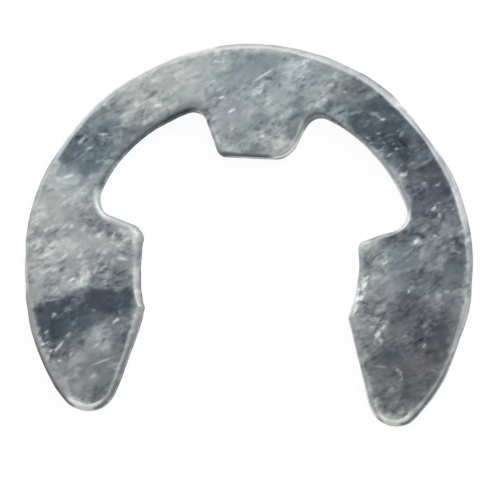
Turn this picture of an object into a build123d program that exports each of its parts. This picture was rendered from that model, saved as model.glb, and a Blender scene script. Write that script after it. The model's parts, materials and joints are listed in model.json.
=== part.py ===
from build123d import *
from math import cos, radians, sin, sqrt
import os

# An e-clip: a retaining ring that is pushed sideways into a groove on a shaft.
# It is blanked in one stroke from flat spring steel. Two prongs hold the bottom of the
# groove from the sides and a tab reaches down to it from the top. The relief windows
# between them leave a slim ring, which is the spring.
#
# It lies flat: the face the punch left from is at z = 0, the shaft's axis is the Z axis
# and the mouth opens towards -Y. Sizes are in millimetres and angles in degrees.

# Ring and seat
groove_diameter = 9.0  # bottom of the shaft's groove, which the lands hold
window_depth = 2.42  # from the groove's circle out to the windows' outer wall
ring_width = 2.28  # from the windows' outer wall to the rim
thickness = 1.1

# Prongs
land_top_angle = 17.2  # where a land starts, above the shaft's centre line
land_bottom_angle = 23.1  # where it ends at the mouth, below the centre line
shoulder_slope = 18.5  # rise of the prong's upper edge towards the rim
mouth_flare = 16.9  # opening of the mouth on each side, from the Y axis

# Tab
tab_width = 2.9  # across the free end, before its corners are rounded
tab_draft = 23.2  # lean of the tab's sides from the Y axis
tab_clearance = 0.07  # the flat end stands this far off the groove's circle

# Corners, as they are worn: the right of the mouth and of the tab is the softer side
tip_round = 1.17
mouth_round_right = 0.65
mouth_round_left = 0.26
land_round = 0.45
window_round = 0.82
tab_root_round = 0.63
tab_round_right = 0.97
tab_round_left = 0.3

# Edges of the sheet
rolled_edge = 0.25  # the punch draws the upper edge in
broken_edge = 0.1  # tumbling takes the burr off the lower edge

groove_radius = groove_diameter / 2
window_radius = groove_radius + window_depth
rim_radius = window_radius + ring_width


def heading(angle):
    """The unit vector at this angle from +X, towards +Y."""
    return Vector(cos(radians(angle)), sin(radians(angle)))


def reach_circle(start, angle, radius):
    """The point where a line from start, on this heading, leaves a circle about the shaft."""
    along = start.dot(heading(angle))
    across = start.length**2 - along**2
    return start + heading(angle) * (sqrt(radius**2 - across) - along)


def mirrored(point):
    """The same point on the left side."""
    return Vector(-point.X, point.Y)


# Sharp corners of the right side, from the tip round to the tab
mouth_corner = heading(-land_bottom_angle) * groove_radius
tip_corner = reach_circle(mouth_corner, mouth_flare - 90, rim_radius)
land_corner = heading(land_top_angle) * groove_radius
window_corner = reach_circle(land_corner, shoulder_slope, window_radius)
tab_corner = Vector(tab_width / 2, groove_radius + tab_clearance)
tab_root = reach_circle(tab_corner, 90 - tab_draft, window_radius)

# Each corner with the radius it is rounded to on the right and on the left
corner_rounds = [
    (tip_corner, tip_round, tip_round),
    (mouth_corner, mouth_round_right, mouth_round_left),
    (land_corner, land_round, land_round),
    (window_corner, window_round, window_round),
    (tab_root, tab_root_round, tab_root_round),
    (tab_corner, tab_round_right, tab_round_left),
]

with BuildPart() as e_clip:
    with BuildSketch(Plane.XY) as blank:
        with BuildLine():
            Line(tip_corner, mouth_corner)
            RadiusArc(mouth_corner, land_corner, -groove_radius)
            Line(land_corner, window_corner)
            RadiusArc(window_corner, tab_root, -window_radius)
            Line(tab_root, tab_corner)
            mirror(about=Plane.YZ)
            Line(tab_corner, mirrored(tab_corner))
            ThreePointArc(tip_corner, Vector(0, rim_radius), mirrored(tip_corner))
        make_face()
        for corner, right_round, left_round in corner_rounds:
            fillet(blank.vertices().sort_by_distance(corner)[0], right_round)
            fillet(blank.vertices().sort_by_distance(mirrored(corner))[0], left_round)
    extrude(amount=thickness)
    fillet(e_clip.faces().sort_by(Axis.Z)[-1].edges(), rolled_edge)
    fillet(e_clip.faces().sort_by(Axis.Z)[0].edges(), broken_edge)

e_clip.part.label = "e_clip"

os.makedirs("parts", exist_ok=True)
export_step(e_clip.part, "parts/e_clip.step")
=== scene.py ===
import json
from math import atan2, ceil, cos, degrees, pi, radians, sin, sqrt, tan

import bpy
import numpy as np
from mathutils import Matrix, Vector, geometry, noise


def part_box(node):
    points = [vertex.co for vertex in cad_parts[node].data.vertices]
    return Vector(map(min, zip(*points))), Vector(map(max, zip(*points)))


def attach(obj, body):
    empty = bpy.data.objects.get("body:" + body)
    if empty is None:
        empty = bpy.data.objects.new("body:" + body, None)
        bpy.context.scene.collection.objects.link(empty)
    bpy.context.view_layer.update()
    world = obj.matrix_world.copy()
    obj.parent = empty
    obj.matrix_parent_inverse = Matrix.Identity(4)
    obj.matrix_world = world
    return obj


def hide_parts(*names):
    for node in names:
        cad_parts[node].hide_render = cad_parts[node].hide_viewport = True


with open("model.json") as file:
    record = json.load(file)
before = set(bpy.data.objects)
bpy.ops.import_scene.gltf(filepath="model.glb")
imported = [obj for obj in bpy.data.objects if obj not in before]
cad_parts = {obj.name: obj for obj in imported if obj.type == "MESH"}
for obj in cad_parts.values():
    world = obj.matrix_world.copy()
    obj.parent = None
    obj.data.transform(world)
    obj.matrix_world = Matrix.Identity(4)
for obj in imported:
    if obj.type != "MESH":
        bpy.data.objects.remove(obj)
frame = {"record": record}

# The e-clip's looks. Sizes are in millimetres and turned into metres where a mesh is made.
MM = 0.001
# Blender's own first objects go
for name in ("Cube", "Light", "Camera"):
    if name in bpy.data.objects:
        bpy.data.objects.remove(bpy.data.objects[name])
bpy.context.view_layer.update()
box_low, box_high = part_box("e_clip")
seat = next(m for m in frame["record"]["mounts"] if m["name"] == "shaft_seat")

# ---- the clip's sizes
RIM = box_high.x / MM
THICK = (box_high.z - box_low.z) / MM
GROOVE = seat["dims"]["r_mm"]
RING_WIDTH = 2.28  # from the windows' outer wall to the rim
WINDOW = RIM - RING_WIDTH
LAND_TOP, LAND_BOTTOM = 17.2, -23.1  # ends of the lands, in degrees
SHOULDER = 18.5  # heading of the prong's upper edge
MOUTH_FLARE = 16.9  # from the Y axis
MOUTH = MOUTH_FLARE - 90  # heading of the prong's inner edge, down to the tip
TAB_DRAFT = 23.2  # from the Y axis
TAB_SIDE = 90 - TAB_DRAFT  # heading of the tab's side, up to its root
TAB_WIDTH = 2.9  # before its corners are rounded
TAB_CLEARANCE = 0.07  # from the groove's circle to the tab's end
TAB_END = Vector((TAB_WIDTH / 2, GROOVE + TAB_CLEARANCE))
TIP_ROUND = 1.17
LAND_ROUND = 0.45
WINDOW_ROUND = 0.82
ROOT_ROUND = 0.63
MOUTH_ROUNDS = {"right": 0.65, "left": 0.26}
TAB_ROUNDS = {"right": 0.97, "left": 0.3}
ROLL = 0.25  # rolled upper edge
BREAK = 0.1  # tumbled lower edge
ROLL_SLOPES = (8, 24, 31, 36, 41, 48, 60, 78)  # of the roll, from the face to the wall
WALL_PARTS = (0.2, 0.4, 0.6, 0.8)  # where the wall's rings lie, from the roll to the break
BREAK_TURNS = (0, 30, 60, 90)  # of the lower edge, from the wall to the lower face

STEP = 0.055  # spacing of the points along the outline
GRID = 0.055  # spacing of the points on the upper face
COARSE_GRID = 0.16  # and on the lower face
GRID_GAP = 0.6  # least gap from those points to the face's edge, as a share of the spacing
MERGE = 1e-7  # points nearer than this become one


# ---- outline
def heading(angle):
    return Vector((cos(radians(angle)), sin(radians(angle))))


def reach_circle(start, angle, radius):
    """Where the line from start on this heading leaves the circle about the shaft's axis."""
    along = start.dot(heading(angle))
    return start + heading(angle) * (sqrt(radius**2 - start.length_squared + along**2) - along)


def round_centre(corner, angle, offset, radius):
    """Centre of a rounding that touches the line through corner and a circle about the axis."""
    return reach_circle(corner + heading(angle + 90) * offset, angle, radius)


def bearing(point):
    return degrees(atan2(point.y, point.x))


def arc(centre, radius, start, end, outward):
    """Points on an arc with the sheet's outward direction at each: outward is 1 where the
    arc bulges out of the sheet and -1 where it is hollow."""
    count = max(2, ceil(abs(radians(end - start)) * radius / STEP))
    rays = [heading(start + (end - start) * i / count) for i in range(count + 1)]
    return [(centre + ray * radius, ray * outward) for ray in rays]


def half_outline(mouth_round, tab_round):
    """The right side of the outline, from the top of the rim round to the middle of the tab."""
    axis = Vector((0, 0))
    mouth_corner = heading(LAND_BOTTOM) * GROOVE
    land_corner = heading(LAND_TOP) * GROOVE
    tip = round_centre(mouth_corner, MOUTH, TIP_ROUND, RIM - TIP_ROUND)
    mouth = round_centre(mouth_corner, MOUTH, mouth_round, GROOVE + mouth_round)
    land = round_centre(land_corner, SHOULDER, -LAND_ROUND, GROOVE + LAND_ROUND)
    window = round_centre(land_corner, SHOULDER, WINDOW_ROUND, WINDOW - WINDOW_ROUND)
    root = round_centre(TAB_END, TAB_SIDE, -ROOT_ROUND, WINDOW - ROOT_ROUND)
    tab_lean = TAB_SIDE - 90
    tab_reach = tab_round * tan(radians(45 + tab_lean / 2))
    tab = TAB_END + Vector((-tab_reach, tab_round))
    pieces = [
        arc(axis, RIM, 90, bearing(tip), 1),
        arc(tip, TIP_ROUND, bearing(tip), MOUTH - 90, 1),
        arc(mouth, mouth_round, MOUTH - 90, bearing(mouth) - 180, 1),
        arc(axis, GROOVE, bearing(mouth), bearing(land), -1),
        arc(land, LAND_ROUND, bearing(land) + 180, SHOULDER + 90, 1),
        arc(window, WINDOW_ROUND, SHOULDER - 90, bearing(window), -1),
        arc(axis, WINDOW, bearing(window), bearing(root), -1),
        arc(root, ROOT_ROUND, bearing(root), TAB_SIDE + 90, -1),
        arc(tab, tab_round, tab_lean, -90, 1),
        [(Vector((0, TAB_END.y)), heading(-90))],
    ]
    path = [pieces[0][0]]
    for piece in pieces:
        last, first = path[-1], piece[0]
        run = (first[0] - last[0]).length
        for i in range(1, ceil(run / STEP)):
            path.append((last[0].lerp(first[0], i / ceil(run / STEP)), first[1]))
        path += piece if run > STEP / 2 else piece[1:]
    return path


def whole_outline():
    """Closed outline and its outward directions, clockwise from the top of the rim."""
    right = half_outline(MOUTH_ROUNDS["right"], TAB_ROUNDS["right"])
    left = half_outline(MOUTH_ROUNDS["left"], TAB_ROUNDS["left"])
    flip = np.array((-1, 1))
    points = [np.array([p for p, _ in right]), np.array([p for p, _ in left[-2:0:-1]]) * flip]
    outward = [np.array([n for _, n in right]), np.array([n for _, n in left[-2:0:-1]]) * flip]
    return np.concatenate(points), np.concatenate(outward)


# ---- wear of the sheet
# Places are in millimetres on the clip, x and y, and headings in degrees from +X.
# Worn stretches of the rim: bearing and half span in degrees, and depth
RIM_WEAR = [(40, 14, 0.12), (0, 8, 0.04), (-15, 12, 0.07), (-37, 6, 0.04), (118, 10, 0.04)]
RIM_BAND = 0.05  # points within this of the rim's circle are on the rim
WEAR = 0.01  # mean wear of the whole outline
WEAR_SPREAD = 0.012  # and how far it wanders

# Stretches of the outline that are worn in, or stand out where negative: place, reach, depth
UNEVEN = [
    (-9.2, -0.5, 1, 0.05),
    (-8.8, 2.7, 1.6, -0.035),
    (-8.3, -4, 1.8, -0.045),
    (-7.2, -5.5, 0.7, -0.03),
    (-5.7, 1.83, 1.35, -0.08),
    (-4.45, 0.3, 1.2, -0.05),
    (-4.35, 1.05, 0.5, 0.045),
    (-4.2, -1.7, 0.4, 0.03),
    (-4.9, -3.7, 1.7, -0.045),
    (-5, 4.8, 1.6, 0.04),
    (1.7, 5.3, 0.8, 0.03),
    (0.6, 9.2, 2.6, -0.03),
    (3.5, 8.5, 1.2, -0.03),
    (5, 7.75, 1, -0.05),
    (3.9, 5.8, 1, 0.02),
    (4.7, -2.9, 2.6, 0.035),
    (4.6, 0.9, 1.1, 0.06),
    (6.2, 2.1, 0.8, 0.05),
    (8.6, -3, 0.9, 0.03),
]

# Bright nicks: place, length, width, heading and how bright
NICKS = [
    (-7.1, 4.9, 0.36, 0.14, 55, 0.9),
    (-6.95, 5.15, 0.16, 0.1, 70, 0.6),
    (-6.25, 5.2, 0.45, 0.1, 3, 0.9),
    (-6, 5.07, 0.2, 0.08, -10, 0.6),
    (-6.75, 4.6, 0.35, 0.08, 25, 0.7),
    (-6.95, 4.75, 0.15, 0.06, 35, 0.4),
    (-6.2, 4.8, 0.14, 0.08, 0, 0.5),
    (-6.3, 4.1, 0.4, 0.07, 30, 0.4),
    (-7.15, 4.2, 0.6, 0.08, 45, 0.3),
    (-7.55, 3.42, 0.38, 0.1, 20, 0.45),
    (-7.95, 3.3, 0.3, 0.1, 10, 0.25),
    (-6.65, 3.45, 0.16, 0.14, 80, 0.25),
    (-5.85, 4.4, 0.2, 0.1, 60, 0.4),
    (-4, 6.5, 0.3, 0.15, 20, 0.5),
    (-4.25, 7.5, 0.3, 0.12, 25, 0.25),
    (-1, 6.42, 0.32, 0.09, 25, 0.85),
    (-1.45, 6.95, 0.2, 0.09, 15, 0.8),
    (-1.65, 8.4, 0.4, 0.1, 5, 0.4),
    (-8.3, 1.2, 0.35, 0.12, 25, 0.5),
    (-8.9, 1.05, 0.16, 0.1, 0, 0.4),
    (-7.3, 1.35, 0.2, 0.12, 35, 0.45),
    (-7.65, 1.3, 0.3, 0.08, 50, 0.4),
    (-6.1, 1.1, 0.4, 0.14, 40, 0.4),
    (-5.55, 1.1, 0.26, 0.08, 50, 0.6),
    (-5.13, 0.14, 0.42, 0.14, -5, 0.55),
    (-7.5, 0.17, 0.4, 0.14, 45, 0.35),
    (-6.9, 0.17, 0.3, 0.14, 55, 0.38),
    (-7.15, -0.8, 0.26, 0.1, 35, 0.8),
    (-5.83, -0.95, 0.3, 0.08, 35, 0.6),
    (-5.3, -1.05, 0.4, 0.07, 8, 0.3),
    (-5, -0.65, 0.3, 0.07, 25, 0.3),
    (-7.9, -1.68, 0.5, 0.08, 12, 0.6),
    (-7.82, -2.3, 0.22, 0.13, 50, 0.9),
    (-6.2, -2.02, 0.18, 0.1, 20, 0.5),
    (-5.28, -2.42, 0.32, 0.11, 35, 1),
    (-8.1, -3.02, 0.22, 0.12, 45, 1),
    (-7.2, -3.08, 0.36, 0.12, 35, 0.5),
    (-7.53, -3.55, 0.52, 0.1, 55, 1),
    (-8.13, -3.48, 0.34, 0.1, 20, 0.7),
    (-7.87, -3.78, 0.22, 0.08, 30, 0.7),
    (-7.5, -4.15, 0.18, 0.1, 10, 0.6),
    (-7.05, -3.9, 0.25, 0.08, 40, 0.4),
    (-6, -3.45, 0.34, 0.08, 45, 0.4),
    (-6.05, -4.7, 0.24, 0.13, 40, 0.45),
    (3.6, 7.4, 0.14, 0.1, 0, 0.5),
    (4.05, 6.57, 0.5, 0.12, 15, 0.4),
    (4.85, 6.57, 0.36, 0.14, 5, 0.6),
    (5, 6.47, 0.24, 0.1, -15, 0.45),
    (5.2, 6.37, 0.26, 0.11, 0, 1),
    (5.05, 5.79, 0.22, 0.09, 15, 0.8),
    (5.65, 5.75, 0.3, 0.07, 20, 0.4),
    (6, 5.8, 0.34, 0.13, 60, 0.5),
    (4.6, 5.57, 0.16, 0.09, 0, 0.8),
    (4.76, 5.37, 0.26, 0.08, 5, 0.8),
    (5.3, 5.4, 0.14, 0.08, 0, 0.5),
    (5.42, 5.7, 0.3, 0.06, 22, 0.45),
    (5.12, 5.56, 0.18, 0.07, 35, 0.5),
    (5.84, 5.92, 0.24, 0.07, 25, 0.5),
    (5.6, 5.5, 0.22, 0.06, 15, 0.45),
    (5.3, 5.22, 0.2, 0.06, 40, 0.4),
    (4.85, -0.78, 0.16, 0.1, 30, 0.6),
    (4.62, -0.65, 0.13, 0.09, 0, 0.7),
    (5.2, 5.08, 0.18, 0.08, 20, 0.6),
    (6.35, 5, 0.16, 0.09, 30, 0.6),
    (6.6, 4.45, 0.14, 0.08, 0, 0.5),
    (5.68, 5.38, 0.14, 0.08, 30, 0.5),
    (5.83, 5.18, 0.2, 0.11, 10, 1),
    (5.55, 4.9, 0.26, 0.09, 35, 1),
    (6, 4.45, 0.35, 0.09, 50, 0.5),
    (6.17, 4.12, 0.3, 0.16, 5, 1),
    (6.28, 4.2, 0.16, 0.1, 50, 0.6),
    (7.05, 3.82, 0.2, 0.09, 20, 0.7),
    (7.6, 3.8, 0.24, 0.1, 20, 0.7),
    (6.75, 3.65, 0.3, 0.14, 10, 0.3),
    (7.48, 2.8, 0.24, 0.14, 60, 1),
    (7.73, 2.55, 0.2, 0.13, 40, 0.9),
    (7.1, 1.95, 0.2, 0.14, 0, 0.3),
    (8.1, 2.2, 0.36, 0.28, 60, 0.12),
    (6.83, 1.44, 0.3, 0.13, 60, 0.9),
    (6.7, 1.28, 0.2, 0.08, 45, 0.4),
    (7.6, 1.68, 0.14, 0.11, 0, 0.9),
    (8.5, 1.1, 0.4, 0.1, -15, 0.5),
    (6.64, -0.66, 0.18, 0.09, 50, 0.8),
    (7.5, -0.57, 0.45, 0.07, 40, 0.4),
    (8.2, -0.55, 0.25, 0.14, 0, 0.4),
    (7.85, -1.15, 0.3, 0.07, 20, 0.35),
    (4.8, -0.5, 0.38, 0.17, 60, 1),
    (4.85, -0.2, 0.3, 0.12, 50, 0.8),
    (4.72, -0.15, 0.14, 0.1, 40, 0.7),
    (4.66, -1, 0.36, 0.16, 35, 1),
    (4.55, -1.4, 0.42, 0.09, 62, 0.8),
    (5.67, -2.15, 0.3, 0.08, 42, 0.6),
    (5.48, -2.45, 0.3, 0.18, 60, 0.9),
    (5.62, -2.7, 0.2, 0.16, -40, 0.7),
    (5.4, -2.85, 0.14, 0.1, 0, 0.4),
    (7.4, -2.78, 0.22, 0.13, 50, 0.9),
    (8.4, -2.5, 0.34, 0.2, 60, 0.3),
    (5.65, -3.75, 0.5, 0.09, 0, 0.4),
    (6.35, -3.85, 0.16, 0.1, 30, 0.6),
    (6.5, -4, 0.28, 0.15, -60, 0.5),
    (6.55, -4.22, 0.14, 0.09, 30, 0.5),
    (6.15, -4.67, 0.24, 0.08, 25, 0.4),
    (7.8, -3.8, 0.22, 0.07, 5, 0.35),
    (6.65, -5.38, 0.14, 0.09, 10, 0.5),
]

# Dark pits and smears: place, length, width, heading and how dark
PITS = [
    (-6.3, 6.3, 0.3, 0.1, 20, 0.5),
    (-5.7, 6.15, 0.22, 0.1, 35, 1),
    (-4.25, 6.95, 0.4, 0.16, 40, 0.6),
    (-3.9, 7.05, 0.3, 0.12, 50, 0.5),
    (-5.05, 5.35, 0.4, 0.16, 20, 0.5),
    (-6.15, 5.35, 0.4, 0.07, 0, 0.6),
    (-6.55, 1.65, 0.18, 0.14, 0, 0.8),
    (-6.9, 1.85, 0.4, 0.1, 25, 0.5),
    (-5.75, 1.12, 0.34, 0.11, 45, 0.8),
    (-5.45, 1.08, 0.22, 0.12, 0, 0.9),
    (-5.8, 1.5, 0.2, 0.1, 10, 0.6),
    (-5.05, 0.35, 0.4, 0.1, -15, 0.7),
    (-4.85, 0.8, 0.3, 0.09, 90, 0.6),
    (-5.95, -0.15, 0.5, 0.1, 10, 0.6),
    (-5.15, -0.45, 0.5, 0.1, 25, 0.8),
    (-5.9, -0.75, 0.3, 0.12, 20, 0.6),
    (-5.2, -0.8, 0.5, 0.1, 20, 0.5),
    (-5.6, -1, 0.3, 0.08, 10, 0.5),
    (6.1, 5.4, 0.5, 0.14, -40, 0.5),
    (-7.55, -0.1, 0.35, 0.1, 45, 0.6),
    (-7.05, 0.45, 0.3, 0.08, 45, 0.5),
    (-6.6, 0.4, 0.4, 0.08, 40, 0.5),
    (-8.6, 0.35, 0.4, 0.09, 20, 0.5),
    (-8.35, -2.15, 0.3, 0.14, 30, 0.35),
    (-8.4, -2.6, 0.2, 0.12, 0, 0.4),
    (-7.85, -4.05, 0.2, 0.14, 60, 0.9),
    (5.25, 5.72, 0.22, 0.09, 30, 0.25),
    (5.62, 5.27, 0.18, 0.08, 0, 0.5),
    (4.85, 5.55, 0.2, 0.09, 20, 0.5),
    (-7.3, -3.85, 0.2, 0.1, 50, 0.5),
    (0.45, 7.8, 0.26, 0.16, 10, 0.9),
    (0.9, 7.55, 0.2, 0.14, 80, 0.7),
    (1.05, 8.65, 0.2, 0.12, 20, 0.8),
    (0.05, 5.72, 0.28, 0.18, 10, 0.7),
    (0.25, 5.98, 0.16, 0.1, 30, 0.7),
    (0.72, 5.92, 0.18, 0.14, 30, 0.7),
    (-0.8, 5.7, 0.2, 0.14, 0, 0.5),
    (1.6, 6.3, 0.6, 0.12, 30, 0.5),
    (1.95, 6.5, 0.4, 0.1, 30, 0.4),
    (4.2, 6.95, 0.3, 0.14, 30, 0.5),
    (3.95, 8.05, 0.24, 0.12, 20, 0.5),
    (5.05, 7.3, 0.3, 0.08, -35, 0.6),
    (6.35, 1.75, 0.3, 0.09, 50, 0.6),
    (5.7, 1.5, 0.6, 0.09, 15, 0.6),
    (6.3, 0.6, 0.6, 0.09, 35, 0.4),
    (4.85, -1.2, 0.4, 0.07, -15, 0.9),
    (7.25, -2.6, 0.14, 0.1, 30, 0.9),
    (5.35, -2.3, 0.3, 0.07, 60, 0.9),
    (5.45, -2.05, 0.2, 0.06, 40, 0.8),
    (5.35, -3.45, 0.26, 0.14, 30, 0.6),
    (6.25, -3.95, 0.24, 0.12, -60, 0.5),
]

# Long fine scratches: both ends and how bright
SCRATCHES = [
    (-0.25, 7.58, 0.72, 8.3, 0.9),
    (-6.25, -4.32, -5.12, -3.83, 0.75),
    (6.8, 1.22, 6.35, 0.8, 0.6),
]
SCRATCH_HALF_WIDTH = 0.06
MARK_RAGGED = 0.045  # how far the borders of nicks and pits wander
MARK_DEPTH = 0.006

# Stains and rubbed places, and darker patches painted in as reflections of dark surroundings,
# from the broad ones to the small: place, half length and half width, heading, lightness, and
# tint from -1, bluish, to 1, warm
STAINS_AND_REFLECTIONS = [
    (-3.9, 7.5, 3.6, 1.3, 28, 0.7, 0.25),
    (-3.3, 7, 0.8, 0.4, 25, 0.64, -0.05),
    (-5.2, 6.4, 1.2, 0.8, 35, 0.65, 0.1),
    (-4.6, 6.1, 0.4, 0.3, 30, 0.58, 0),
    (0, 8, 2.3, 1.5, 0, 0.63, -0.6),
    (-2.4, 7.9, 0.7, 1.1, 20, 0.68, -0.15),
    (0, 8.3, 1.7, 0.8, 0, 0.58, -0.6),
    (-1.6, 8.4, 0.5, 0.35, 0, 0.65, -0.2),
    (1.7, 7.9, 0.8, 0.8, 0, 0.67, -0.6),
    (1.9, 7, 0.6, 0.5, 30, 0.57, -0.5),
    (2.6, 6.8, 0.8, 0.35, 0, 0.55, -0.4),
    (0.4, 7.2, 0.8, 0.4, 10, 0.62, -0.6),
    (-1.1, 6.8, 1, 0.6, 0, 0.61, -0.7),
    (-1.5, 7.1, 0.5, 0.6, 0, 0.59, -0.6),
    (0.3, 6.55, 0.9, 0.3, 10, 0.66, -0.4),
    (0, 5.4, 1.5, 0.8, 0, 0.63, -0.3),
    (0.5, 6.1, 1, 0.25, 15, 0.58, -0.5),
    (1.6, 6.25, 0.7, 0.25, 30, 0.48, -0.3),
    (0.4, 4.85, 0.9, 0.2, 0, 0.54, 0.1),
    (1.6, 5.75, 0.3, 0.5, -25, 0.51, -0.1),
    (1.25, 5.05, 0.55, 0.28, 30, 0.66, 0.2),
    (-0.75, 5.3, 0.5, 0.28, 0, 0.55, -0.1),
    (-1.2, 5, 0.3, 0.25, 0, 0.67, 0.3),
    (-6.9, 4.6, 1.6, 1.25, 48, 0.46, -1),
    (-7.4, 3.85, 0.8, 0.48, 10, 0.465, -1.2),
    (-6.3, 5.3, 1, 0.45, 20, 0.47, -0.7),
    (-5.3, 5.3, 0.7, 0.35, 40, 0.53, -0.3),
    (-6.75, 5.85, 0.55, 0.32, 45, 0.44, -0.2),
    (-7.2, 5.1, 0.7, 0.35, 55, 0.43, -0.6),
    (-6.3, 4.4, 0.6, 0.6, 0, 0.475, -1),
    (-6.1, 6.05, 0.9, 0.32, 25, 0.515, -0.2),
    (-7.7, 2.7, 1.1, 0.9, 70, 0.67, -0.25),
    (-7.6, 3.2, 0.5, 0.3, 20, 0.7, -0.5),
    (-6.4, 3.1, 0.5, 0.5, 60, 0.6, -0.4),
    (-8.25, 3.75, 0.35, 0.35, 60, 0.72, -0.1),
    (-6, 3.8, 0.3, 0.3, 50, 0.58, -0.6),
    (-8.2, 1.6, 0.5, 0.3, 0, 0.61, 0),
    (-8.3, 0.4, 1, 2.4, 0, 0.67, 0.1),
    (-6.9, 0.3, 1.6, 1.2, 30, 0.63, 0.1),
    (-7.6, 0.4, 0.8, 0.4, 35, 0.69, 0),
    (-8.35, 1, 0.5, 0.5, 0, 0.61, 0.1),
    (-6.2, 0, 0.6, 0.3, 20, 0.53, 0),
    (-5.9, 1.45, 0.9, 0.35, -22, 0.54, 0),
    (-6.9, 1.8, 0.6, 0.3, 0, 0.57, 0),
    (-4.9, 1.2, 0.5, 0.4, -40, 0.8, 0.1),
    (-4.9, 0.3, 0.25, 0.7, 0, 0.56, 0),
    (-6.65, -0.75, 0.5, 0.35, 30, 0.74, 0),
    (-5.5, -0.3, 0.8, 0.35, 10, 0.55, 0.15),
    (-5.5, -0.72, 1, 0.36, 8, 0.455, 0.1),
    (-8.3, -1.2, 0.8, 0.5, 20, 0.58, 0),
    (-6.3, -4.3, 2, 2.2, 70, 0.51, 0.4),
    (-5.5, -4.5, 0.5, 0.9, -20, 0.47, 0.3),
    (-6.5, -4.9, 0.7, 0.5, 0, 0.55, 0.5),
    (-5.7, -5.4, 0.4, 0.25, 30, 0.42, 0.1),
    (-5, -2.9, 0.45, 0.8, -15, 0.44, 0.2),
    (-8.1, -3.1, 0.5, 0.6, 0, 0.37, 0.3),
    (-6.9, -3.1, 0.9, 0.5, 25, 0.39, -0.2),
    (-6.4, -1.97, 2.6, 0.77, 11, 0.32, -0.4),
    (-7.8, -2.5, 1.1, 0.8, 20, 0.31, -0.4),
    (-7.6, -2.9, 0.7, 0.42, 20, 0.29, -0.4),
    (-7.4, -3.7, 0.6, 0.5, 45, 0.4, 0.3),
    (-5.5, -1.52, 0.95, 0.42, 5, 0.3, -0.4),
    (-6.95, -1.75, 0.5, 0.22, 60, 0.4, -0.4),
    (-6.4, -2.5, 0.8, 0.3, 20, 0.38, -0.5),
    (-5.2, -2.5, 0.4, 0.5, 0, 0.45, -0.2),
    (-5.95, -3.2, 0.62, 0.45, -40, 0.61, -0.3),
    (-6.6, -3.8, 0.7, 0.35, 40, 0.57, 0),
    (-7.6, -4.6, 0.35, 0.5, -30, 0.58, 0.7),
    (-7.3, -5.2, 0.45, 0.3, -45, 0.64, 0.5),
    (2.9, 7.4, 1, 1.2, 35, 0.62, -0.4),
    (2.6, 7.9, 0.7, 0.35, 40, 0.58, -0.4),
    (4.3, 7.1, 1.15, 1.05, -35, 0.455, -0.1),
    (3.8, 7.5, 0.5, 0.4, -30, 0.46, 0),
    (5, 5.3, 1.9, 0.7, -48, 0.4, -0.5),
    (5.6, 6.1, 1.7, 1.25, -42, 0.355, -0.6),
    (7, 4.6, 1.8, 1.1, -55, 0.36, -0.5),
    (6, 5.25, 0.6, 0.4, -45, 0.275, -0.5),
    (7.5, 3.2, 1.3, 1, -70, 0.36, -0.3),
    (6.75, 3.8, 0.4, 0.35, 0, 0.43, -0.2),
    (6.9, 2.7, 0.6, 0.5, -60, 0.41, -0.3),
    (4.5, 6.08, 0.5, 0.4, -35, 0.33, -0.6),
    (3.1, 6.7, 0.4, 0.3, -20, 0.48, -0.4),
    (4.75, 7.4, 0.5, 0.12, 40, 0.52, -0.2),
    (6.9, 4.75, 0.7, 0.14, 25, 0.45, -0.3),
    (7.3, 4.4, 0.5, 0.3, 0, 0.34, 0.3),
    (7.6, 3.7, 0.5, 0.35, -60, 0.34, -0.3),
    (7.4, 2.1, 1.2, 0.6, 30, 0.435, -0.4),
    (7.5, 1.2, 1.5, 0.7, 40, 0.49, -0.4),
    (8.55, 0.6, 0.45, 1.3, 0, 0.39, -0.4),
    (8.2, 0.2, 0.3, 0.5, 10, 0.43, -0.4),
    (7.2, 1, 0.45, 0.27, 0, 0.56, -0.3),
    (7.6, 0.45, 0.5, 0.18, 30, 0.54, -0.3),
    (8.1, 1.75, 0.55, 0.25, 35, 0.52, -0.3),
    (8.3, 2.35, 0.3, 0.35, 0, 0.44, -0.3),
    (7.4, 1.5, 0.7, 0.32, 35, 0.55, -0.3),
    (8.3, 1.4, 0.35, 0.15, -15, 0.42, -0.3),
    (5.4, 0.5, 0.9, 0.8, 0, 0.545, -0.1),
    (5.2, 0.05, 0.4, 0.3, 0, 0.5, 0),
    (6.1, 1.4, 0.7, 0.45, 20, 0.44, -0.4),
    (6.5, 0.8, 0.8, 0.4, 35, 0.5, -0.5),
    (4.95, 1.15, 0.35, 0.22, 20, 0.69, 0.1),
    (6.1, 0.45, 0.5, 0.15, 30, 0.48, -0.3),
    (5.5, -0.45, 0.9, 0.5, 10, 0.58, -0.3),
    (7.3, -0.2, 1.2, 0.55, 0, 0.43, -0.4),
    (6.85, 0, 0.35, 0.3, 0, 0.37, -0.4),
    (6.7, -0.85, 0.5, 0.3, 10, 0.38, -0.3),
    (8.45, -0.6, 0.5, 0.8, 0, 0.44, -0.1),
    (6.9, -2, 1.9, 1.3, 0, 0.39, 0.4),
    (5.2, -2.7, 0.8, 1.8, 10, 0.52, 0.3),
    (6, -1.5, 0.35, 0.3, 0, 0.45, 0),
    (5.2, -1.4, 0.7, 0.45, 0, 0.49, 0.1),
    (4.7, -1.8, 0.4, 0.35, 0, 0.57, 0.1),
    (5.45, -2.5, 0.3, 0.4, 10, 0.52, 0.2),
    (6.5, -2.6, 0.45, 0.35, 0, 0.46, 0.1),
    (6.6, -3.9, 1.6, 1.6, 0, 0.38, 1),
    (6.15, -3.2, 0.5, 0.35, 0, 0.36, 0.3),
    (8, -2.8, 0.6, 0.8, -15, 0.35, 1.1),
    (5.9, -4.5, 0.7, 0.8, 20, 0.42, 0.9),
    (6.4, -5.3, 0.8, 0.3, 0, 0.46, 1.1),
    (5.52, -5.25, 0.3, 0.15, 58, 0.74, 0.3),
    (-6.15, -5.68, 0.35, 0.1, 5, 0.41, 0.3),
]
FACE_TONE = 0.62  # between the stains
UNDER_TONE = 0.56  # mean lightness of the lower face
UNDER_SPREAD = 0.1
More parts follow.
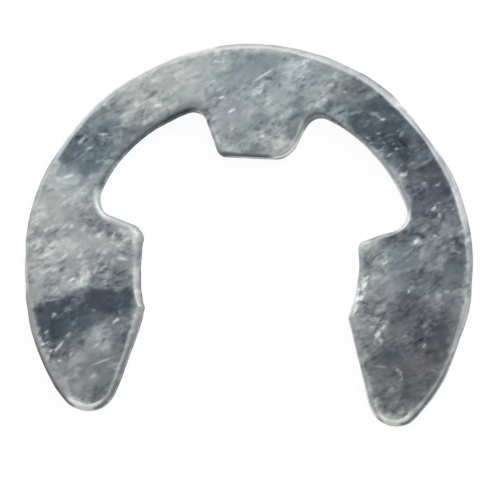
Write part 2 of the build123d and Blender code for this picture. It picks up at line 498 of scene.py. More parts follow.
PATCH_RAGGED = 0.22  # how far the borders of the stains and painted reflections wander
BORDER_RAGGED = 0.1  # and those of BORDERS

# Casts of the plating, from the broad to the small: place, reach and cast from -1, lilac, to 1,
# greenish
CASTS = [
    (0.6, 7.8, 2.6, 0.2),
    (-1, 6.75, 0.9, -0.6),
    (-7.2, 5.2, 1, -0.5),
    (-6.6, 1.9, 1.3, -0.5),
    (6.6, 5, 2.6, -0.4),
    (4.3, 6.1, 0.7, 0.5),
    (7.6, 2.2, 1.8, -0.2),
    (5.4, 0.4, 0.9, 0.3),
    (5.6, -1.2, 1.1, -0.5),
    (7.6, -2.4, 2.2, -0.6),
    (7.2, -4.2, 1.2, -0.4),
    (-7.2, -4.7, 1.3, -0.5),
    (5.5, -4.4, 0.9, 0.3),
    (-6.8, -0.4, 2.6, -0.2),
]
CAST_MEAN = -0.05  # between them
CAST_SPREAD = 0.3

# How strong the face's grain is, from the broad places to the small: place, reach and strength
GRAINS = [
    (0, 7.5, 3, 0.85),
    (-3, 7.9, 1.6, 0.62),
    (-7.2, 0.6, 2.2, 0.85),
    (-7.5, 2.9, 1.2, 0.55),
    (-4.6, 6.9, 1.1, 0.8),
    (-6.7, -4.7, 1.4, 0.8),
    (0.2, 5.6, 1.4, 0.9),
    (5.5, 6, 1.6, 1.2),
    (7.5, 2.4, 1.6, 1.2),
    (5.4, 0.5, 1.2, 1.1),
    (6.6, -1.6, 1.8, 1.1),
    (-5.4, -0.8, 0.6, 1.3),
    (-8.4, -2.4, 0.6, 1.6),
    (-7.75, 4.2, 0.5, 0.5),
    (-1.2, 6.8, 0.9, 0.6),
    (3.6, 7.3, 0.9, 1.2),
]

# Borders of the faces with painted shade, darker, and painted highlight, lighter, next to the
# edge: place, reach along the edge, width from the edge, lightness and tint
BORDERS = [
    (-3.7, 5.8, 1.6, 0.3, 0.47, 0.1),
    (-5.5, 4.1, 1.1, 0.2, 0.46, -0.3),
    (-0.1, 4.6, 0.8, 0.15, 0.5, 0.1),
    (2.6, 6.5, 0.8, 0.3, 0.49, -0.3),
    (-0.1, 9.2, 1.8, 0.35, 0.72, -0.05),
    (-7.2, 5.3, 1.2, 0.3, 0.43, -0.2),
    (-5.3, 7.3, 0.8, 0.4, 0.75, 0.1),
    (-2.6, 6.6, 0.8, 0.5, 0.49, 0),
    (-5.1, 4.9, 0.9, 0.6, 0.48, -0.2),
    (-4.35, -1.8, 0.5, 0.45, 0.6, 0),
    (-4.35, -1.85, 0.6, 0.18, 0.68, 0),
    (-5.6, 1.7, 0.6, 0.35, 0.56, 0),
    (-8.9, -1.8, 2, 0.3, 0.6, 0.7),
    (-7.9, -4.3, 1.5, 0.25, 0.6, 0.5),
    (-7, -5.7, 0.9, 0.4, 0.64, 0.3),
    (-6.8, -5.9, 0.4, 0.35, 0.76, 0.2),
    (5.9, 4, 0.8, 0.45, 0.64, -0.2),
    (5.1, 4.9, 0.6, 0.2, 0.58, -0.2),
    (6.4, 3.2, 0.7, 0.12, 0.58, -0.2),
    (4.9, -3.6, 2, 0.42, 0.57, 0.2),
    (5.6, -5.4, 0.6, 0.32, 0.65, 0.3),
]

# The rolled edge, burnished and with painted highlights and painted shade in its lightness,
# from the broad stretches to the short: place, reach, lightness of its inner and of its outer
# part, and how much of the face's grain it has
EDGES = [
    (-6.5, 6.5, 4.5, 0.75, 0.98, 0.5),
    (-9.1, 2, 2.8, 0.69, 0.66, 0.6),
    (-8.5, 3.6, 0.9, 0.74, 0.74, 0.6),
    (-8.9, -2, 2, 0.62, 0.6, 0.4),
    (-9.2, -0.5, 1, 0.74, 0.76, 0.5),
    (-7.8, -4.7, 1.6, 0.6, 0.46, 0.3),
    (-5, -4, 2, 0.68, 0.54, 0.6),
    (-7.2, -5.5, 0.6, 0.62, 0.45, 0.3),
    (-6.4, -5.95, 0.8, 1, 0.5, 0.2),
    (-6.4, -6.05, 0.45, 1, 0.82, 0.2),
    (-4.5, -0.2, 1.8, 0.63, 0.6, 0.8),
    (-4.3, -0.9, 0.8, 0.71, 0.74, 0.6),
    (-4.2, -1.8, 0.6, 0.72, 0.68, 0.3),
    (-4.6, -2.8, 0.8, 0.69, 0.6, 0.6),
    (-5.8, 1.9, 1.4, 0.68, 0.78, 0.3),
    (-5.2, 1.6, 0.6, 0.6, 0.76, 0.2),
    (-4.5, 1.25, 0.45, 0.74, 0.72, 0.2),
    (-4.6, 5, 2.2, 0.5, 0.3, 0.6),
    (-3, 6.3, 0.9, 0.4, 0.3, 0.4),
    (-6, 3.6, 0.8, 0.56, 0.5, 0.6),
    (-1.8, 5.8, 1, 0.62, 0.86, 0.6),
    (1.85, 5.8, 0.9, 0.72, 0.68, 0.3),
    (-0.35, 4.57, 1.2, 0.5, 0.46, 0.4),
    (1.3, 4.8, 0.65, 0.8, 0.96, 0.2),
    (2.7, 6.5, 0.9, 0.52, 0.58, 0.7),
    (4.3, 5.6, 1.4, 0.47, 0.62, 0.8),
    (5.6, 4.5, 1, 0.64, 0.74, 0.7),
    (6.4, 3.2, 0.9, 0.63, 0.86, 0.4),
    (6.3, 2, 0.7, 0.94, 1, 0.2),
    (5.3, 1.6, 0.8, 0.7, 1, 0.2),
    (4.5, 1.2, 0.5, 0.9, 1, 0.3),
    (4.5, 0.2, 1, 0.66, 1, 0.6),
    (4.45, -1.2, 0.7, 0.88, 0.98, 0.5),
    (4.9, -3.6, 2.2, 0.61, 0.92, 0.6),
    (5.4, -5.5, 0.6, 0.64, 0.95, 0.5),
    (3.3, 8.5, 1.3, 0.68, 0.76, 0.4),
    (6.7, 6.5, 3, 0.7, 0.94, 0.4),
    (8.2, 4.4, 0.9, 0.61, 0.78, 0.4),
    (8.9, 3, 1, 0.72, 0.8, 0.4),
    (9.2, 0.6, 1.8, 0.62, 0.65, 0.6),
    (9, -2.2, 1.5, 0.7, 0.78, 0.5),
    (7.9, -4.4, 1.6, 0.64, 0.46, 0.4),
    (7.25, -5.4, 0.5, 0.74, 0.42, 0.4),
    (6.35, -5.95, 0.8, 1, 0.5, 0.2),
    (6.2, -6.05, 0.4, 1, 0.8, 0.2),
    (-0.6, 9.2, 1.5, 0.8, 0.74, 0.2),
    (-2.6, 8.85, 0.9, 0.76, 0.94, 0.4),
    (4.9, 7.8, 1.1, 0.67, 0.66, 0.4),
    (1.8, 9.1, 1.3, 0.75, 0.74, 0.3),
]
EDGE_TONES = (0.76, 0.5, 0.3)  # where no stretch is listed

# Width of the roll along the outline, as a share of its full width: place, reach and share
ROLL_SHARES = [
    (-6.5, 6.5, 4.5, 0.85),
    (-9.2, 1.5, 3, 0.6),
    (-0.6, 9.2, 1.9, 0.7),
    (1.9, 9, 1.3, 0.95),
    (0, 5.2, 2.2, 0.48),
    (-4.2, 5.2, 2.4, 0.6),
    (4.4, 5.3, 2, 0.5),
    (4.5, 0, 1.3, 0.75),
    (-4.45, 0.2, 1, 0.85),
    (-7.8, -4.6, 1.6, 0.65),
    (-5.2, -4.6, 1.9, 0.72),
    (8, -4, 1.4, 0.7),
    (9.2, -0.3, 1.2, 0.85),
    (8.8, 3, 1, 1.15),
    (6.3, -6, 0.8, 0.75),
    (-6.4, -6, 0.8, 0.75),
    (-5.8, 1.9, 1.3, 0.9),
    (5.5, 1.7, 0.8, 0.78),
    (7, 6.2, 2.8, 1.2),
]
ROLL_SPREAD = 0.14  # how far the width wanders
ROLL_AT_CORNER = 0.3  # how much wider it is at a sharp corner; half as much narrower in a hollow
CORNER_TURNS = (0.1, 1.2)  # turn of a slight and of a sharp corner, in radians
CORNER_REACH = 0.5  # counted over this length of the outline on either side
ROLL_ROOM = 0.6  # the most of a corner's radius that the roll takes up
ROLL_TAPER = 0.3  # how fast it widens away from there
ROLL_RAGGED = 0.15  # how far the inner side of its look wanders

# Hue of the rolled edge, from the broad stretches to the short: place, reach, tint and cast
EDGE_HUES = [
    (-8, 3, 7, 0.12, -0.35),
    (-1, 9.2, 2.6, 0.4, -0.1),
    (-7.5, -4.8, 2, 0.25, -0.5),
    (-5.6, 4, 1.6, -0.5, -0.3),
    (-6.2, 2.5, 1, -0.25, -0.3),
    (7, 5, 5, 0, -0.6),
    (5, -5, 3, 0.18, -0.4),
    (4.8, 5, 1.4, -0.3, -0.4),
    (9.1, 1.5, 1, -0.4, -0.4),
    (6.3, -5.95, 0.8, 0.3, 0.3),
    (-6.9, -5.7, 0.7, 0.5, 0.1),
]
EDGE_HUE = (0.0, -0.4)  # where no stretch is listed

# The cut walls, painted lighter on the lit side and darker where shade falls, from the broad
# stretches to the short: place, reach and lightness
WALLS = [
    (7.5, 5.5, 4, 0.8),
    (9.3, -0.5, 2.6, 0.76),
    (8.3, -4, 1.6, 0.74),
    (-4.4, 5.2, 2.4, 0.53),
    (-5.7, 4, 0.9, 0.7),
    (-6.3, 2.2, 0.9, 0.85),
    (-5.3, 1.7, 1, 0.9),
    (-4.6, 1.2, 0.5, 0.82),
    (0, 4.6, 1.2, 0.78),
    (5.7, 1.9, 1.2, 0.95),
    (1.7, 5.2, 0.8, 0.85),
    (2.6, 6.4, 0.8, 0.65),
    (4.4, 5.3, 1.6, 0.6),
    (-4.3, 0, 1.9, 0.68),
    (-4.7, -3, 1.4, 0.74),
    (-5.3, -5.2, 1.2, 0.68),
    (-6.4, -6.1, 0.9, 0.66),
    (-6.4, -6.1, 0.45, 0.84),
    (6.4, -6.1, 0.9, 0.62),
    (6.25, -6.1, 0.4, 0.8),
    (7.3, -5.4, 0.8, 0.7),
]
WALL_TONE = (0.6,)  # where no stretch is listed
DRAG_DEPTH = 0.014  # of the walls' upright drag marks
DRAG_SIZE = 0.22
BREAK_STEP = 0.006  # the break starts this far behind the wall

# Low swells of the upper face: height and size of the broad and of the small ones, and how
# far the face lies below the full thickness
SWELLS = ((0.006, 2.6), (0.0025, 0.8))
FACE_DROP = 0.009
FACE_EASE = 0.5  # they set in over this length from the roll

SEED_STEPS = (17.3, 5.1, 9.7)  # how far apart two seeds lie in the noise


def blend(low, high, value):
    """0 up to low, 1 from high on, and a smooth step between them; low may be the larger."""
    part = np.clip((value - low) / (high - low), 0, 1)
    return part * part * (3 - 2 * part)


def wander(places, size, seed):
    """Smooth noise from -1 to 1 over the places, with bumps about this many millimetres apart."""
    shift = Vector([seed * step for step in SEED_STEPS])
    return np.array([noise.noise(Vector(p) / size + shift) for p in places])


def drift(places, size, seed):
    """Two such noises, as columns for x and for y."""
    return np.stack([wander(places, size, seed), wander(places, size, seed + 1)], 1)


def ellipse(places, x, y, half_length, half_width, angle):
    """Distance of each place from the middle of an ellipse: 1 on the ellipse."""
    ahead, beside = heading(angle), heading(angle + 90)
    offset = places[:, :2] - (x, y)
    return np.hypot(offset @ ahead / half_length, offset @ beside / half_width)


def near(places, x, y, reach):
    """1 about the place x, y, fading out around this reach: from 0.6 to 1.2 times it."""
    return blend(1.2, 0.6, np.hypot(places[:, 0] - x, places[:, 1] - y) / reach)


def face_look(places, inset):
    """Lightness, tint, cast and grain of the face at each place, by its inset from the outline."""
    flat = places * (1, 1, 0)
    cast = CAST_MEAN + CAST_SPREAD * wander(flat, 1.1, 21)
    ragged = drift(flat, 0.55, 6) + 0.6 * drift(flat, 0.2, 8)
    flat[:, :2] += PATCH_RAGGED * ragged
    tone = np.full(len(flat), FACE_TONE)
    tint = np.zeros(len(flat))
    # the stains, and the darker patches painted in as reflections: a patch's tint reaches a little
    # further than its lightness
    for *form, lightness, colour in STAINS_AND_REFLECTIONS:
        far = ellipse(flat, *form)
        tone += (lightness - tone) * blend(1.3, 0.6, far)
        tint += (colour - tint) * blend(1.6, 0.5, far)
    inset = inset + BORDER_RAGGED * ragged[:, 0]
    # painted shade and painted highlight along the faces' borders
    for x, y, reach, width, lightness, colour in BORDERS:
        cover = near(places, x, y, reach) * blend(0.15 + width, 0.1, inset)
        tone += (lightness - tone) * cover
        tint += (colour - tint) * cover
    for x, y, reach, amount in CASTS:
        cast += amount * near(flat, x, y, reach)
    return tone, tint, cast, *painted(flat, (1.0,), GRAINS)


def painted(places, levels, patches):
    """The levels at each place once the patches, x, y, reach and levels, are laid over them."""
    found = [np.full(len(places), level) for level in levels]
    for x, y, reach, *values in patches:
        cover = near(places, x, y, reach)
        found = [old + (new - old) * cover for old, new in zip(found, values)]
    return found


def marks(places):
    """How strongly each place is marked: up to 1 in a bright nick, down to -1 in a dark pit."""
    places = places[:, :2] + MARK_RAGGED * drift(places * (1, 1, 0), 0.12, 13)
    found = []
    for group in (NICKS, PITS):
        found.append(np.zeros(len(places)))
        for x, y, length, width, angle, strength in group:
            far = ellipse(places, x, y, length / 2, width / 2, angle)
            found[-1] = np.maximum(found[-1], strength * blend(1.5, 0.5, far))
    return found[0] - found[1]


def edge_wear(path):
    """How far wear has taken the edge in at each point of the outline."""
    flat = np.c_[path, np.zeros(len(path))]
    worn = WEAR + WEAR_SPREAD * wander(flat, 0.9, 1)
    bearings = np.degrees(np.arctan2(path[:, 1], path[:, 0]))
    on_rim = np.linalg.norm(path, axis=1) > RIM - RIM_BAND
    for place, span, depth in RIM_WEAR:
        worn += on_rim * depth * blend(1, 0, np.abs(bearings - place) / span)
    worn = np.maximum(worn, 0)
    for x, y, reach, depth in UNEVEN:
        worn += depth * near(path, x, y, reach)
    return worn


def turning(outward, reach):
    """How far the outline turns over this many points on either side, positive where convex."""
    angles = np.unwrap(np.arctan2(outward[:, 1], outward[:, 0]))
    angles = np.concatenate([angles[-reach:] + 2 * pi, angles, angles[:reach] - 2 * pi])
    return angles[: -2 * reach] - angles[2 * reach :]


def roll_width(path, outward):
    """Width of the rolled edge: the punch draws the sheet in further at a convex corner, but a
    sharp corner leaves it less room."""
    slight, sharp = CORNER_TURNS
    turned = turning(outward, round(CORNER_REACH / STEP))
    corner = blend(slight, sharp, turned) - 0.5 * blend(-slight, -sharp, turned)
    flat = np.c_[path, np.zeros(len(path))]
    width = ROLL * (1 + ROLL_AT_CORNER * corner + ROLL_SPREAD * wander(flat, 1.5, 2))
    for x, y, reach, share in ROLL_SHARES:
        width *= 1 + (share - 1) * near(path, x, y, reach)
    # the turn over 4 steps gives a corner's radius
    room = ROLL_ROOM * 4 * STEP / np.maximum(turning(outward, 2), 0.01)
    for step in range(-10, 11):
        width = np.minimum(width, np.roll(room, step) + ROLL_TAPER * STEP * abs(step))
    smoothing = range(-3, 4)
    return sum(np.roll(width, step) for step in smoothing) / len(smoothing)


# ---- the clip's mesh
def nearest(path, places):
    """Distance from each place to the nearest point of the path, and which point that is."""
    # some places at a time, here and in inside, which saves memory
    far = np.empty(len(places))
    which = np.empty(len(places), int)
    for first in range(0, len(places), 400):
        gaps = np.linalg.norm(places[first : first + 400, None] - path[None], axis=2)
        far[first : first + 400] = gaps.min(1)
        which[first : first + 400] = gaps.argmin(1)
    return far, which


def inside(path, places):
    """True for each place within the closed path."""
    x0, y0 = path.T
    x1, y1 = np.roll(path, -1, 0).T
    rise = np.where(y1 == y0, 1, y1 - y0)
    found = np.zeros(len(places), bool)
    for first in range(0, len(places), 2000):
        x, y = places[first : first + 2000, :1], places[first : first + 2000, 1:]
        crosses = ((y0 > y) != (y1 > y)) & (x < x0 + (y - y0) / rise * (x1 - x0))
        found[first : first + 2000] = crosses.sum(1) % 2 == 1
    return found


def fill(edge, spacing):
    """Evenly spaced places within the ring edge, and the triangles that join them to it, which
    count the edge's own points first."""
    rows = np.arange(-RIM, RIM, spacing * sqrt(3) / 2)
    x, y = np.meshgrid(np.arange(-RIM, RIM, spacing), rows)
    x[1::2] += spacing / 2
    places = np.stack([x.ravel(), y.ravel()], 1)
    reach = np.linalg.norm(places, axis=1)
    places = places[(reach < RIM) & (reach > GROOVE)]
    places = places[inside(edge, places)]
    places = places[nearest(edge, places)[0] > GRID_GAP * spacing]
    corners = [Vector(p) for p in np.concatenate([edge, places])]
    ring = [(i, (i + 1) % len(edge)) for i in range(len(edge))]
    found, _, triangles, origins, _, _ = geometry.delaunay_2d_cdt(corners, ring, [], 1, MERGE)
    order = [origin[0] for origin in origins]
    return places, [tuple(order[i] for i in t) for t in triangles]


def edge_rings(path, roll):
    """Inset from the outline and height, point by point, of each ring from the upper face's
    edge over the roll, down the wall and round the lower edge."""
    worn = edge_wear(path)
    rings = []
    slopes = np.radians(ROLL_SLOPES)
    run = np.concatenate([[0], np.cumsum(np.cos(slopes))]) / np.cos(slopes).sum()
    drop = np.concatenate([[0], np.cumsum(np.sin(slopes))]) / np.cos(slopes).sum()
    for across, down in zip(run, drop):
        rings.append((roll - (roll - worn) * across, THICK - roll * down))
    # the drag marks run down the wall, so they change little with height
    for part in WALL_PARTS:
        places = np.c_[path, np.full(len(path), part)]
        drag = DRAG_DEPTH * np.abs(wander(places * (1, 1, 0.3), DRAG_SIZE, 3))
        drag *= blend(0, 0.3, part)
        height = rings[len(ROLL_SLOPES)][1] * (1 - part) + BREAK * part
        rings.append((worn + drag, height))
    for turn in np.radians(BREAK_TURNS):
        inset = worn + BREAK_STEP + BREAK * (1 - cos(turn))
        rings.append((inset, np.full(len(path), BREAK * (1 - sin(turn)))))
    return rings


def ring_faces(count, rings):
    """The faces between rings of this many points."""
    faces = []
    for start in range(0, count * (rings - 1), count):
        for i in range(count):
            j = (i + 1) % count
            faces.append((start + i, start + j, start + count + j, start + count + i))
    return faces


def clip_surface(path, outward, rings):
    """Places and faces of the closed sheet, ring by ring and then the rest of its upper and
    lower face, and the places of those two alone."""
    count = len(path)
    last = count * (len(rings) - 1)
    corners = [np.c_[path - outward * inset[:, None], height] for inset, height in rings]
    faces = ring_faces(count, len(rings))
    upper, triangles = fill(corners[0][:, :2], GRID)
    faces += [tuple(i if i < count else last + i for i in t) for t in triangles]
    lower, triangles = fill(corners[-1][:, :2], COARSE_GRID)
    shift = last + len(upper)
    faces += [tuple(last + i if i < count else shift + i for i in t[::-1]) for t in triangles]
    top = np.c_[upper, np.full(len(upper), THICK)]
    bottom = np.c_[lower, np.zeros(len(lower))]
    return np.concatenate(corners + [top, bottom]), faces, upper, lower


def flagged(total, *stretches):
    """1 on these stretches of that many points and 0 on the others."""
    found = np.zeros(total)
    for stretch in stretches:
        found[stretch] = 1
    return found


def clip_looks(places, inset, roll, wall, under):
    """What the material needs at each place: tone, tint, cast, mark, how much of the face's
    grain shows, and wall, 1 on the cut walls."""
    flat = places * (1, 1, 0)
    # share is 0 at the outline and 1 at the roll's inner side
    share = inset / (roll * (1 + ROLL_RAGGED * wander(flat, 0.5, 22)))
    # the roll's lightness is its burnish with painted highlights and painted shade laid in
    inner, outer, edge_grain = painted(places, EDGE_TONES, EDGES)
    edge_tone = inner + (outer - inner) * blend(0.6, 0.15, share)
    edge = (edge_tone, *painted(places, EDGE_HUE, EDGE_HUES), edge_grain)
    rubbed_and_lit = blend(1.2, 0.8, share)
    looks = [old + (new - old) * rubbed_and_lit for old, new in zip(face_look(places, inset), edge)]
    tone, tint, cast, grain = looks
    walled = wall > 0
    # the walls' lightness is painted light and shade, stretch by stretch
    (tone[walled],) = painted(places[walled], WALL_TONE, WALLS)
    tone += (UNDER_TONE + UNDER_SPREAD * wander(flat, 2.2, 11) - tone) * under
    tint *= 1 - under
    grain += (1 - grain) * under
    mark = marks(places) * (1 - wall) * (1 - under)
    return {"tone": tone, "tint": tint, "cast": cast, "mark": mark, "grain": grain, "wall": wall}


def relief(places, inset, mark):
    """Height of the upper face's low swells and of the hollows of its marks."""
    flat = places * (1, 1, 0)
    (broad, broad_size), (small, small_size) = SWELLS
    swell = broad * wander(flat, broad_size, 4) + small * wander(flat, small_size, 5) - FACE_DROP
    face = places[:, 2] > THICK - 0.001  # the upper face alone has the full height
    return face * (swell * blend(ROLL, ROLL + FACE_EASE, inset) - MARK_DEPTH * np.abs(mark))


def make_clip():
    """The clip as one closed mesh: its places, its faces and its looks at each place."""
    path, outward = whole_outline()
    roll = roll_width(path, outward)
    rings = edge_rings(path, roll)
    places, faces, upper, lower = clip_surface(path, outward, rings)
    count = len(path)
    last = count * (len(rings) - 1)
    wall = flagged(len(places), slice(count * (len(ROLL_SLOPES) + 1), last))
    lower_start = last + count + len(upper)
    under = flagged(len(places), slice(last, last + count), slice(lower_start, None))
    far_upper, at_upper = nearest(path, upper)
    far_lower, at_lower = nearest(path, lower)
    inset = np.concatenate([inset for inset, _ in rings] + [far_upper, far_lower])
    roll = np.concatenate([np.tile(roll, len(rings)), roll[at_upper], roll[at_lower]])
    looks = clip_looks(places, inset, roll, wall, under)
    places[:, 2] += relief(places, inset, looks["mark"])
    return places, faces, looks


def add_clip():
    """The clip in the scene, in metres, in place of the solid."""
    places, faces, looks = make_clip()
    mesh = bpy.data.meshes.new("clip_sheet")
    mesh.from_pydata((places * MM + (0, 0, box_low.z)).tolist(), [], faces)
    for name, value in looks.items():
        mesh.attributes.new(name, "FLOAT", "POINT").data.foreach_set("value", value)
    mesh.shade_smooth()
    clip = bpy.data.objects.new("clip_sheet", mesh)
    bpy.context.collection.objects.link(clip)
    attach(clip, "root")
    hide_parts("e_clip")
    return clip


# ---- materials
class Nodes:
    """Builds the nodes of a material or of the world."""

    def __init__(self, owner):
        owner.use_nodes = True
        self.tree = owner.node_tree
        self.shader = self.tree.nodes.get("Principled BSDF")

    def add(self, kind, inputs, output=0, **settings):
        """Adds a node, sets its inputs to values or links, and gives the output asked for."""
        made = self.tree.nodes.new("ShaderNode" + kind)
        for name, value in settings.items():
            setattr(made, name, value)
        for name, value in inputs.items():
            self.put(made.inputs[name], value)
        return made.outputs[output]

    def put(self, socket, value):
        if isinstance(value, bpy.types.NodeSocket):
            self.tree.links.new(value, socket)
        else:
            socket.default_value = value

    def value(self, name):
        return self.add("Attribute", {}, "Fac", attribute_name=name)

    def math(self, operation, *values):
        return self.add("Math", dict(enumerate(values)), operation=operation)

    def scaled(self, place, *factors):
        return self.add("Mapping", {"Vector": place, "Scale": factors})

    def span(self, value, low, high, bottom=0.0, top=1.0, **settings):
        """The value taken from between low and high to between bottom and top, and held there."""
        inputs = {"Value": value, 1: low, 2: high, 3: bottom, 4: top}
        return self.add("MapRange", inputs, **settings)

    def noise(self, place, size, detail=2.0, rough=0.5, bend=0.0):
        """Noise from about -0.5 to 0.5 with lumps of this size."""
        inputs = {"Vector": place, "Scale": 1 / size, "Detail": detail, "Roughness": rough}
        inputs["Distortion"] = bend
        return self.math("SUBTRACT", self.add("TexNoise", inputs), 0.5)

    def total(self, *terms):
        """Sum of the terms, where a pair stands for its product."""
        found = 0.0
        for term in terms:
            value, factor = term if isinstance(term, tuple) else (term, 1.0)
            found = self.math("MULTIPLY_ADD", value, factor, found)
        return found

    def tinted(self, colour, shade, amount):
        """The colour multiplied by this amount of the shade."""
        inputs = {0: amount, 6: colour, 7: (*shade, 1)}
        return self.add("Mix", inputs, 2, data_type="RGBA", blend_type="MULTIPLY")

    def ramp(self, value, stops):
        """The colour at this value, between stops of value and colour."""
        made = self.tree.nodes.new("ShaderNodeValToRGB")
        for at, colour in stops[1:-1]:
            made.color_ramp.elements.new(at)
        for element, (at, colour) in zip(made.color_ramp.elements, stops):
            element.position = at
            element.color = (*colour, 1)
        self.put(made.inputs[0], value)
        return made.outputs[0]


def linear(*levels):
    """A colour from its display levels, 0 to 1."""
    return tuple(v / 12.92 if v < 0.04045 else ((v + 0.055) / 1.055) ** 2.4 for v in levels)


# Colours of the plating by lightness, from the darkest patches, stains and painted reflections, to
# bare bright metal
PLATING = [
    (0.2, linear(0.175, 0.205, 0.23)),
    (0.35, linear(0.333, 0.36, 0.38)),
    (0.5, linear(0.483, 0.51, 0.52)),
    (0.65, linear(0.638, 0.66, 0.655)),
    (0.85, linear(0.843, 0.86, 0.85)),
    (1.0, linear(0.97, 0.98, 0.975)),
]
BLUISH = (0.82, 0.915, 1.0)
WARM = (1.0, 0.93, 0.9)
GREENISH = (0.94, 1.0, 0.94)
LILAC = (1.0, 0.94, 1.0)
STREAK_HEADING = 33  # lie of the fine streaks

# How far textures and marks change the plating's lightness
STREAKS, FINE_GRAIN, CLOUDS, FLECKS, SMEARS = 0.62, 0.02, 0.18, 0.11, -0.13
NICK_SHINE, PIT_SHADE, SCRATCH_SHINE = 0.33, 0.16, 0.2
WALL_LINES, TORN_TONE = 0.35, -0.11
TORN_HEIGHT = 0.36  # mean height of the walls' rough break zone
BUMP_DEPTH = 0.01


def scratched(nodes, here):
    """1 on the long scratches, fading out at their ends and sides."""
    found = 0.0
    for x0, y0, x1, y1, strength in SCRATCHES:
        start, end = Vector((x0, y0)), Vector((x1, y1))
        settings = {
            "Vector": here,
            "Location": (*(start + end) / 2, 0),
            "Rotation": (0, 0, radians(bearing(end - start))),
            "Scale": ((end - start).length / 2, SCRATCH_HALF_WIDTH, 1000),  # at any height
        }
        ahead = nodes.add("Mapping", settings, vector_type="TEXTURE")
        far = nodes.add("VectorMath", {0: ahead}, "Value", operation="LENGTH")
        cover = nodes.span(far, 1.1, 0.4, 0.0, strength)
        found = nodes.math("MAXIMUM", cover, found)
    return found


def face_texture(nodes, here, base):
    """Lightness that the texture adds to the base, and its clouds, streaks and fine grain."""
    turned = nodes.add("Mapping", {"Vector": here, "Rotation": (0, 0, radians(-STREAK_HEADING))})
    streaky = nodes.scaled(turned, 1, 2, 1)
    cloud = nodes.noise(here, 0.8)
    streak = nodes.noise(streaky, 0.6, 2, 0.58, 0.5)
    grit = nodes.noise(nodes.scaled(turned, 1, 1.5, 1), 0.26, 1, 0.4, 0.3)
    fine = nodes.noise(here, 0.08)
    # some patches of the face are rougher than others, and the dark patches, stains and painted
    # reflections, are smoother
    patchy = nodes.span(nodes.noise(here, 1.1), -0.14, 0.16)
    depth = nodes.span(base, 0.33, 0.62, 0.3)
    gritty = nodes.span(base, 0.4, 0.62, 0.5, 0.24)
    # the tops of one noise are bright flecks and its hollows dark smears
    speck = nodes.noise(streaky, 0.24, 0)
    flecks = nodes.math("MULTIPLY", nodes.span(speck, 0.2, 0.32), patchy)
    smears = nodes.math("MULTIPLY", nodes.span(speck, -0.18, -0.3), patchy)
    rough = nodes.total((grit, gritty), (streak, STREAKS), (fine, FINE_GRAIN))
    rough = nodes.total((rough, nodes.total(0.32, (patchy, 1.05))), (smears, SMEARS))
    rough = nodes.math("MULTIPLY", rough, depth)
    return nodes.total(rough, (cloud, CLOUDS), (flecks, FLECKS)), cloud, streak, fine


def plating_colour(nodes, tone):
    """The plating's colour at this lightness, with the tint and the cast laid over it."""
    colour = nodes.ramp(tone, PLATING)
    tint, cast = nodes.value("tint"), nodes.value("cast")
    for value, below, above in ((tint, BLUISH, WARM), (cast, LILAC, GREENISH)):
        for sign, shade in ((-1, below), (1, above)):
            amount = nodes.math("MAXIMUM", nodes.math("MULTIPLY", value, sign), 0.0)
            colour = nodes.tinted(colour, shade, amount)
    return colour


def zinc_material():
    """Dull zinc plating: stains and painted reflections, clouds and streaks on the faces, a
    lighter rolled edge with painted highlights and painted shade, and walls painted lighter and
    darker as lit and shaded, with upright drag lines and a rough break zone."""
    material = bpy.data.materials.new("zinc_plated")
    nodes = Nodes(material)
    here = nodes.scaled(nodes.add("TexCoord", {}, "Object"), 1 / MM, 1 / MM, 1 / MM)
    base, grain = nodes.value("tone"), nodes.value("grain")
    mark, wall = nodes.value("mark"), nodes.value("wall")
    texture, cloud, streak, fine = face_texture(nodes, here, base)

    lines = nodes.noise(nodes.scaled(here, 1, 1, 0.06), 0.1, 3, 0.6)
    height = nodes.add("SeparateXYZ", {"Vector": here}, "Z")
    torn_edge = nodes.total(TORN_HEIGHT, (cloud, 0.5), (lines, 0.25))
    torn = nodes.math("MULTIPLY", wall, nodes.math("LESS_THAN", height, torn_edge))
    wall_lines = nodes.math("MULTIPLY", lines, wall)

    tone = nodes.total(
        base,
        (texture, grain),
        (nodes.math("MAXIMUM", mark, 0.0), NICK_SHINE),
        (nodes.math("MINIMUM", mark, 0.0), PIT_SHADE),
        (scratched(nodes, here), SCRATCH_SHINE),
        (wall_lines, WALL_LINES),
        (torn, TORN_TONE),
    )
    colour = plating_colour(nodes, tone)
    nodes.put(nodes.shader.inputs["Base Color"], colour)
    nodes.shader.inputs["Metallic"].default_value = 1.0
    rough = nodes.total(0.5, (streak, 0.3), (fine, 0.2), (mark, -0.1), (torn, 0.2), (grain, -0.06))
    nodes.put(nodes.shader.inputs["Roughness"], rough)
    # steep places keep the plating's own colour at a glancing view
    steep = nodes.add("SeparateXYZ", {"Vector": nodes.add("TexCoord", {}, "Normal")}, "Z")
    steep = nodes.span(steep, 0.97, 0.85)
    glancing = nodes.add("Mix", {0: steep, 6: (1, 1, 1, 1), 7: colour}, 2, data_type="RGBA")
    nodes.put(nodes.shader.inputs["Specular Tint"], glancing)
    bump = nodes.total((streak, 0.25), (fine, 0.4), wall_lines)
    bumped = nodes.add("Bump", {"Height": bump, "Distance": BUMP_DEPTH * MM, "Strength": 1.0})
    nodes.put(nodes.shader.inputs["Normal"], bumped)
    return material


PAPER = 0.85  # lightness of the floor's paper
FIBRE_SIZE = 0.003  # in metres
GLOW = 1.04  # strength of its own light, which only the camera and reflections see
GLOW_SHARE = 0.88  # the rest of what they see is the lit paper, with the shadow


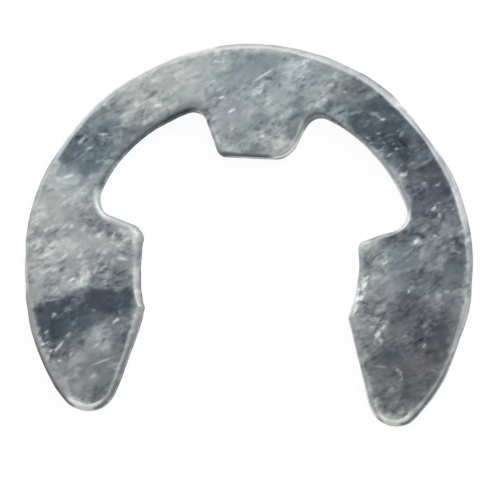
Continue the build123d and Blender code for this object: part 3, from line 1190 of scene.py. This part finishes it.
def floor_material():
    """White paper that shows white to the camera and in reflections, and keeps the shadow."""
    material = bpy.data.materials.new("white_paper")
    nodes = Nodes(material)
    place = nodes.add("TexCoord", {}, "Object")
    fibre = nodes.noise(place, FIBRE_SIZE, 3)
    shade = nodes.total(PAPER, (fibre, 0.01))
    grey = nodes.add("CombineColor", {0: shade, 1: shade, 2: shade})
    nodes.put(nodes.shader.inputs["Base Color"], grey)
    nodes.shader.inputs["Roughness"].default_value = 0.9
    nodes.shader.inputs["Specular IOR Level"].default_value = 0.0
    path = nodes.tree.nodes.new("ShaderNodeLightPath")
    seen = path.outputs["Is Camera Ray"]
    for name in ("Is Glossy Ray", "Is Transmission Ray"):
        seen = nodes.math("MAXIMUM", seen, path.outputs[name])
    glow = nodes.add("Emission", {"Color": (1, 1, 1, 1), "Strength": GLOW})
    share = nodes.math("MULTIPLY", seen, GLOW_SHARE)
    output = nodes.tree.nodes["Material Output"]
    mixed = nodes.add("MixShader", {0: share, 1: nodes.shader.outputs[0], 2: glow})
    nodes.put(output.inputs["Surface"], mixed)
    return material


# ---- studio
DISTANCE = 370  # from the lens to the clip, in millimetres
SENSOR = 36
LENS = 650.7  # focal length
LEAN_RIGHT = 5.0  # the camera stands this far towards +X from straight above
LEAN_NEAR = 4.5  # and this far towards -Y
TURN = 2.776  # turn of the clip in the view
AIM = (0.015, 0.832)  # middle of the view, across and up from the shaft's axis
FLOOR_GAP = 0.02  # between the floor and the clip's lower face
FLOOR_REACH = 2000  # from the middle to each side

# Surroundings: their dimmest direction, their strength there and away from it, and the cosine
# of the angle from it where each of the two sets in
DIM_SIDE = (0.15, -0.97, 0.2)
DIM, LIGHT = 0.52, 1.13
DIM_FROM, LIGHT_FROM = 0.85, -0.1

KEY_PLACE = (200, 220, 300)
KEY_SIZE = 300
KEY_WATTS = 0.4


def add_camera():
    """The camera above the clip, leaning a little to the right and to the near side."""
    data = bpy.data.cameras.new("camera")
    data.lens = LENS
    data.sensor_width = SENSOR
    data.clip_start = 0.01
    camera = bpy.data.objects.new("camera", data)
    lean_right = Matrix.Rotation(radians(LEAN_RIGHT), 3, "Y")
    lean_near = Matrix.Rotation(radians(LEAN_NEAR), 3, "X")
    turn = Matrix.Rotation(radians(TURN), 3, "Z")
    facing = lean_near @ lean_right @ turn
    camera.matrix_world = facing.to_4x4()
    camera.location = facing @ Vector((*AIM, DISTANCE)) * MM
    bpy.context.collection.objects.link(camera)
    bpy.context.scene.camera = camera


def add_floor():
    """White paper under the clip."""
    mesh = bpy.data.meshes.new("floor")
    half = FLOOR_REACH * MM
    level = box_low.z - FLOOR_GAP * MM
    sides = ((-half, -half), (half, -half), (half, half), (-half, half))
    mesh.from_pydata([(x, y, level) for x, y in sides], [], [(0, 1, 2, 3)])
    mesh.materials.append(floor_material())
    floor = bpy.data.objects.new("floor", mesh)
    bpy.context.collection.objects.link(floor)


def add_lamp(name, place, size, watts):
    """A soft square lamp that faces the clip."""
    data = bpy.data.lights.new(name, "AREA")
    data.size = size
    data.energy = watts
    lamp = bpy.data.objects.new(name, data)
    lamp.location = place
    lamp.rotation_euler = place.to_track_quat("Z", "Y").to_euler()
    bpy.context.collection.objects.link(lamp)


def add_world():
    """Soft studio surroundings, dimmer on the near side and lighter behind."""
    world = bpy.data.worlds.new("studio")
    bpy.context.scene.world = world
    nodes = Nodes(world)
    place = nodes.add("TexCoord", {}, "Generated")
    both = {0: place, 1: Vector(DIM_SIDE).normalized()}
    towards = nodes.add("VectorMath", both, "Value", operation="DOT_PRODUCT")
    level = nodes.span(towards, DIM_FROM, LIGHT_FROM, DIM, LIGHT, interpolation_type="SMOOTHSTEP")
    background = nodes.tree.nodes["Background"]
    nodes.put(background.inputs["Strength"], level)
    background.inputs["Color"].default_value = (1, 1, 1, 1)


clip = add_clip()
clip.data.materials.append(zinc_material())
add_floor()
add_camera()
add_world()
add_lamp("key", Vector(KEY_PLACE) * MM, KEY_SIZE * MM, KEY_WATTS)
bpy.context.scene.view_settings.view_transform = "Standard"
